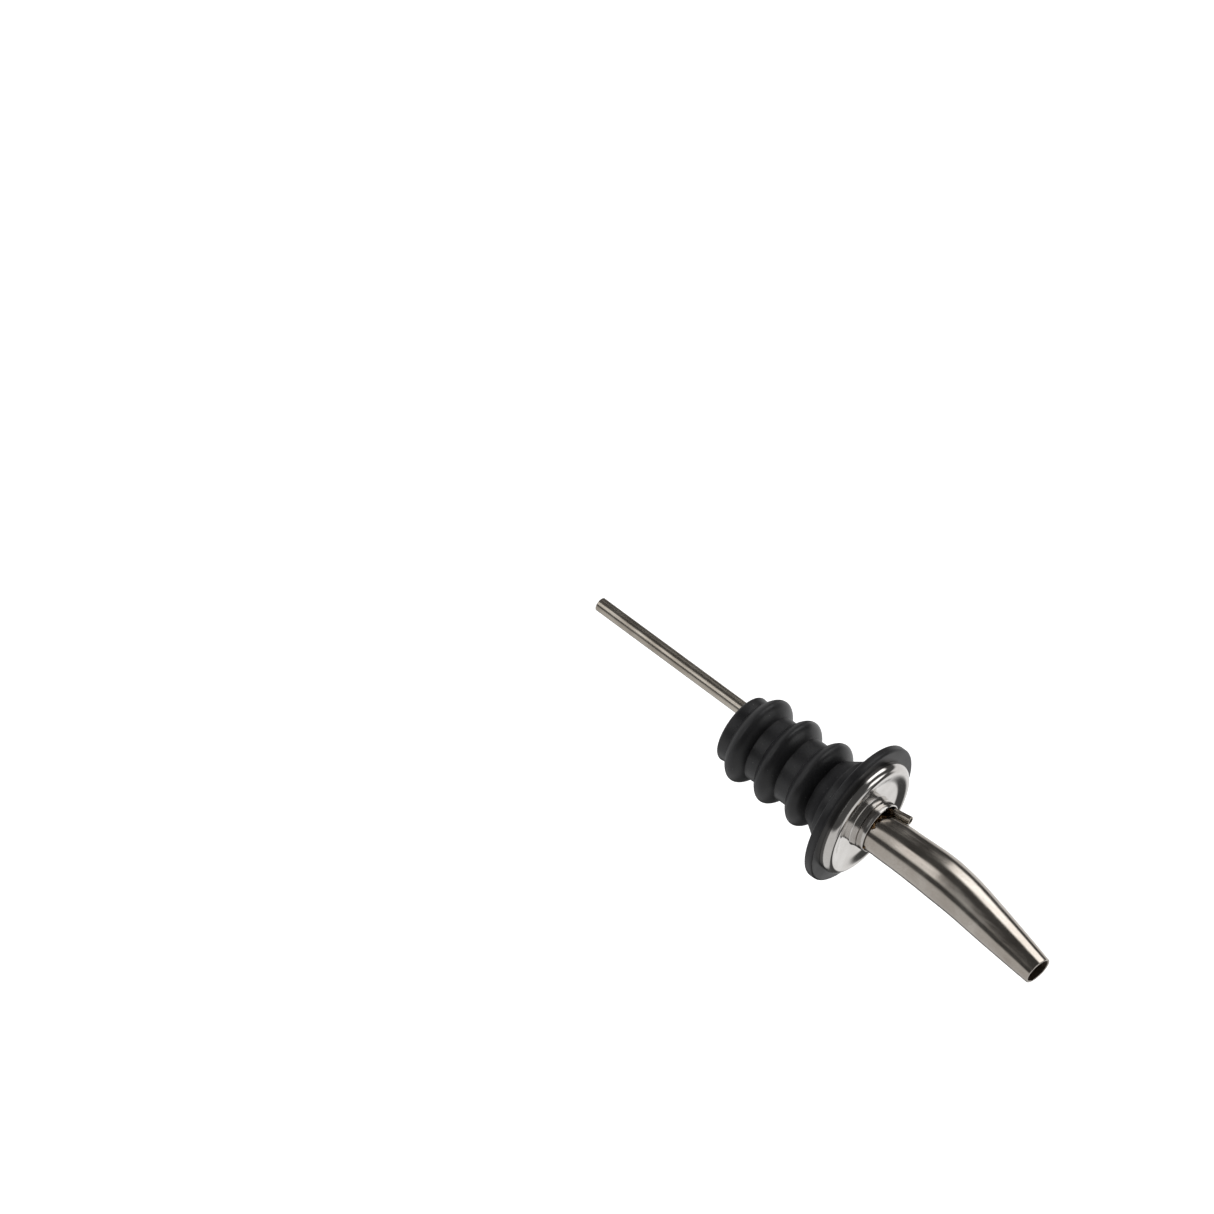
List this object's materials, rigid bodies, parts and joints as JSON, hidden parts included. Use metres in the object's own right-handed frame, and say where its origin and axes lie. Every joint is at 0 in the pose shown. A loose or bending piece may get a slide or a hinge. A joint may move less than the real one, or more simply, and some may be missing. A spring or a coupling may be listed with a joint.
{
  "type": "liquor pour spout",
  "caption": "Bottle pour spout: tapered bent metal spout, clamping cap, air vent tube and a finned rubber stopper that plugs the bottle neck.",
  "frame": {"origin": "centre of the underside of the rubber flange, the face that rests on the bottle's rim", "axes": "+Z along the stopper's axis out of the bottle, towards the spout's tip; +X the side the spout bends to; the vent is on -X"},
  "size_m": [0.03, 0.03, 0.1165],
  "materials": {
    "rubber": "satin black rubber with fine specks",
    "washer_steel": "plain stamped steel",
    "polished_steel": "polished, slightly warm",
    "satin_steel": "satin, fine lengthwise grain, slightly brown",
    "vent_steel": "drawn tube, satin, slightly brown",
    "solder": "uneven solder with gold and brown beads"
  },
  "bodies": {
    "rubber": {"stopper": "rubber"},
    "washer": {"backing_washer": "washer_steel"},
    "metalwork": {"collar_cap": "polished_steel", "stem_tube": "polished_steel", "spout_tube": "satin_steel", "vent_nipple": "vent_steel", "breather_tube": "vent_steel", "solder_front": "solder", "solder_back": "solder"}
  },
  "joints": [
    {"name": "pull_out", "type": "slide", "parent": "rubber", "child": "washer", "axis": [0, 0, 1], "range_m": [0, 0.028]},
    {"name": "spout_turn", "type": "hinge", "parent": "washer", "child": "metalwork", "pos_m": [0, 0, 0], "axis": [0, 0, 1], "continuous": true}
  ]
}
